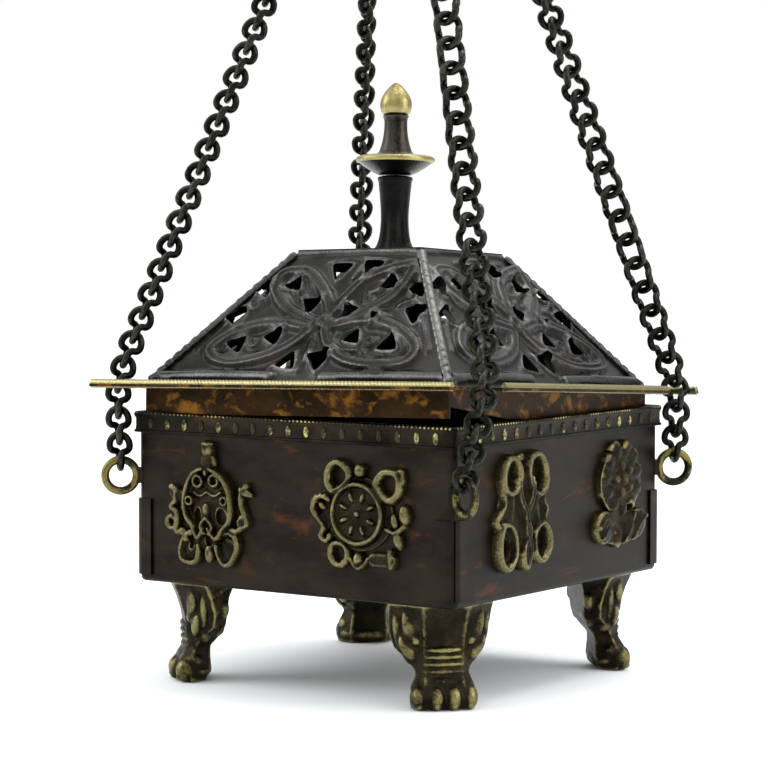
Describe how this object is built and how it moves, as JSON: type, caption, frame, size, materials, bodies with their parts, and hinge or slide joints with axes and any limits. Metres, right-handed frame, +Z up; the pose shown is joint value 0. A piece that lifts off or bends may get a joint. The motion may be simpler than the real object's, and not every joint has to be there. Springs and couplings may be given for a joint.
{
  "type": "hanging censer",
  "caption": "Square box incense burner on cast paw feet with relief emblems, a pierced pyramid lid with a finial, and curb chains gathered on a ring.",
  "frame": {"origin": "middle of the footprint, on the surface the four soles stand on", "axes": "+Z up, through the finial and the gather ring; +X and +Y square to the box walls, the front wall facing -Y"},
  "size_m": [0.1419, 0.1405, 0.3564],
  "materials": {
    "patinated_sheet": "dark brown patinated brass sheet with reddish areas",
    "beaded_band": "dark patinated brass band, beads worn bright",
    "cast_feet": "cast brass, dark in the hollows, worn on the high spots",
    "fasteners": "patinated brass",
    "cast_emblems": "cast brass, blackened hollows, worn bright on the high spots",
    "ring_brass": "brass wire worn bright outside, dark inside",
    "black_iron": "blackened iron wire chain",
    "edge_brass": "bright worn brass rope strip",
    "heated_sheet": "brass sheet with orange-brown heat patina",
    "roof_casting": "grey-black glossy cast relief",
    "finial_brass": "turned brass, polished by handling on the edges",
    "pan_iron": "sooty sheet steel"
  },
  "bodies": {
    "censer": {"box_shell": "patinated_sheet", "rim_band": "beaded_band", "foot_rivets": "fasteners", "ring_lugs": "fasteners", "corner_seam_front_left": "patinated_sheet", "corner_seam_front_right": "patinated_sheet", "corner_seam_back_right": "patinated_sheet", "corner_seam_back_left": "patinated_sheet", "foot_front_left": "cast_feet", "foot_front_right": "cast_feet", "foot_back_right": "cast_feet", "foot_back_left": "cast_feet", "corner_ring_front_left": "ring_brass", "corner_ring_front_right": "ring_brass", "corner_ring_back_right": "ring_brass", "corner_ring_back_left": "ring_brass", "chain_front_left": "black_iron", "chain_front_right": "black_iron", "chain_back_right": "black_iron", "chain_back_left": "black_iron", "end_link_front_left": "black_iron", "end_link_front_right": "black_iron", "end_link_back_right": "black_iron", "end_link_back_left": "black_iron", "emblem_vase": "cast_emblems", "emblem_wheel": "cast_emblems", "emblem_fish": "cast_emblems", "emblem_lotus": "cast_emblems", "emblem_parasol": "cast_emblems", "emblem_conch": "cast_emblems", "emblem_knot": "cast_emblems", "emblem_banner": "cast_emblems"},
    "lid": {"lid_flange": "heated_sheet", "roof_cap": "roof_casting", "finial_stem": "roof_casting", "finial_nut": "fasteners", "finial_disc": "finial_brass", "finial_bud": "finial_brass", "edge_strip_front": "edge_brass", "edge_strip_right": "edge_brass", "edge_strip_back": "edge_brass", "edge_strip_left": "edge_brass", "skirt_front": "heated_sheet", "skirt_right": "heated_sheet", "skirt_back": "heated_sheet", "skirt_left": "heated_sheet", "roof_panel_front": "roof_casting", "roof_panel_right": "roof_casting", "roof_panel_back": "roof_casting", "roof_panel_left": "roof_casting", "hip_strip_front_left": "roof_casting", "hip_strip_front_right": "roof_casting", "hip_strip_back_right": "roof_casting", "hip_strip_back_left": "roof_casting"},
    "pan": {"ash_pan": "pan_iron"},
    "gather_ring": {"gather_ring": "black_iron"}
  },
  "joints": [
    {"name": "lid_lift", "type": "slide", "parent": "censer", "child": "lid", "axis": [0, 0, 1], "range_m": [0, 0.01]},
    {"name": "pan_lift", "type": "slide", "parent": "censer", "child": "pan", "axis": [0, 0, 1], "range_m": [0, 0.018]},
    {"name": "ring_swing", "type": "hinge", "parent": "censer", "child": "gather_ring", "pos_m": [0, 0, 0.319], "axis": [1, 0, 0], "range_deg": [-45, 45]}
  ]
}
